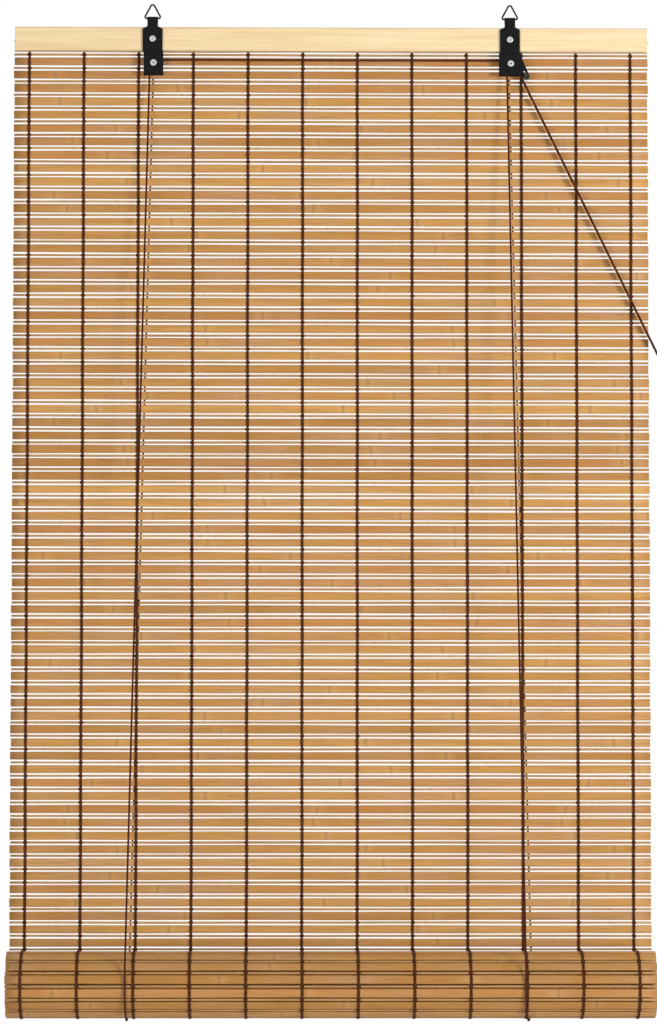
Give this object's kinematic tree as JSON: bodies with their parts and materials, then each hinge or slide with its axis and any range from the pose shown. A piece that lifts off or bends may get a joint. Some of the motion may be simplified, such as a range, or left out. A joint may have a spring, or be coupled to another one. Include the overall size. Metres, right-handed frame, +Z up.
{
  "type": "bamboo roll up blind",
  "caption": "Roll up blind of bamboo slats and sticks tied by threads, on a pine head rail with two hook rings, pulley brackets, cord lock, lift cords and a rolled foot",
  "frame": {"origin": "midway between the two hook rings, at the inside top of their wire, where the hooks bear", "axes": "+Z up, +X to the right seen from the front, +Y from the front to the back of the blind"},
  "size_m": [0.8383, 0.0921, 1.2716],
  "materials": {
    "bamboo": "split bamboo, satin, with nodes and flecks",
    "pine": "planed pine, faint lengthwise grain",
    "thread": "brown twisted yarn",
    "black_steel": "black paint, satin, lightly worn edges",
    "zinc": "zinc plated",
    "pulley_plastic": "dark moulded plastic",
    "roller_brass": "dull cast brass",
    "cord": "dark maroon braided cord",
    "bell_wood": "turned and stained"
  },
  "bodies": {
    "root": {"head_rail": "pine", "mat_top": "bamboo", "mat_middle": "bamboo", "mat_lower": "bamboo", "mat_threads_top": "thread", "mat_threads_middle": "thread", "mat_threads_lower": "thread", "mat_staples": "zinc", "left_hanger": "black_steel", "right_hanger": "black_steel", "left_pulley_housing": "black_steel", "right_lock_housing": "black_steel", "left_bracket_screw": "zinc", "right_bracket_screw": "zinc", "left_axle": "zinc", "right_axle": "zinc", "left_axle_spacer": "zinc", "right_axle_spacer": "zinc", "left_cord_eye": "zinc", "right_cord_eye": "zinc", "left_cord_knot": "cord", "right_cord_knot": "cord", "left_cord_back": "cord", "right_cord_back": "cord", "left_cord_front": "cord", "right_cord_front": "cord", "cross_cord": "cord", "right_lock_cord": "cord"},
    "left_hook_ring": {"left_ring": "black_steel"},
    "right_hook_ring": {"right_ring": "black_steel"},
    "cord_loops": {"left_cord_loop": "cord", "right_cord_loop": "cord"},
    "rolled_mat": {"roll": "bamboo", "roll_threads": "thread", "bottom_batten": "pine"},
    "left_wheel": {"left_pulley": "pulley_plastic"},
    "right_front_wheel": {"right_front_pulley": "pulley_plastic"},
    "right_rear_wheel": {"right_rear_pulley": "pulley_plastic"},
    "sliding_pin": {"lock_pin": "zinc"},
    "toothed_roller": {"lock_roller": "roller_brass"},
    "pull_line": {"pull_cord_front": "cord", "pull_cord_rear": "cord", "pull_bell": "bell_wood", "pull_knot": "cord"}
  },
  "joints": [
    {"name": "left_ring_swing", "type": "hinge", "parent": "root", "child": "left_hook_ring", "pos_m": [-0.225, 0, -0.01621], "axis": [1, 0, 0], "range_deg": [-110, 110]},
    {"name": "right_ring_swing", "type": "hinge", "parent": "root", "child": "right_hook_ring", "pos_m": [0.225, 0, -0.01621], "axis": [1, 0, 0], "range_deg": [-110, 110]},
    {"name": "roll_lift", "type": "slide", "parent": "root", "child": "cord_loops", "axis": [0, 0, 1], "range_m": [0, 1.05525], "deforming": ["mat_middle", "mat_lower", "mat_threads_middle", "mat_threads_lower", "left_cord_front", "right_cord_front", "left_cord_back", "right_cord_back"]},
    {"name": "roll_spin", "type": "hinge", "parent": "cord_loops", "child": "rolled_mat", "pos_m": [0, -0.02705, -1.22431], "axis": [-1, 0, 0], "range_deg": [0, 1440]},
    {"name": "left_pulley_spin", "type": "hinge", "parent": "root", "child": "left_wheel", "pos_m": [-0.2238, 0.00675, -0.07241], "axis": [0, 1, 0], "continuous": true},
    {"name": "right_front_pulley_spin", "type": "hinge", "parent": "root", "child": "right_front_wheel", "pos_m": [0.2262, 0.00275, -0.07241], "axis": [0, 1, 0], "continuous": true},
    {"name": "right_rear_pulley_spin", "type": "hinge", "parent": "root", "child": "right_rear_wheel", "pos_m": [0.2262, 0.00675, -0.07241], "axis": [0, 1, 0], "continuous": true},
    {"name": "lock_pin_slide", "type": "slide", "parent": "root", "child": "sliding_pin", "axis": [-0.3951, 0, 0.9186], "range_m": [0, 0.007]},
    {"name": "lock_roller_spin", "type": "hinge", "parent": "sliding_pin", "child": "toothed_roller", "pos_m": [0.24628, 0.0039, -0.08823], "axis": [0, 1, 0], "continuous": true},
    {"name": "pull_cord_swing", "type": "hinge", "parent": "root", "child": "pull_line", "pos_m": [0.24197, 0.0014, -0.09365], "axis": [-1, 0, 0], "range_deg": [0, 58]}
  ],
  "couplings": [
    {"joint": "roll_spin", "follows": "roll_lift", "rad_per_m": 23.8},
    {"joint": "pull_cord_swing", "follows": "roll_lift", "rad_per_m": 0.955}
  ]
}
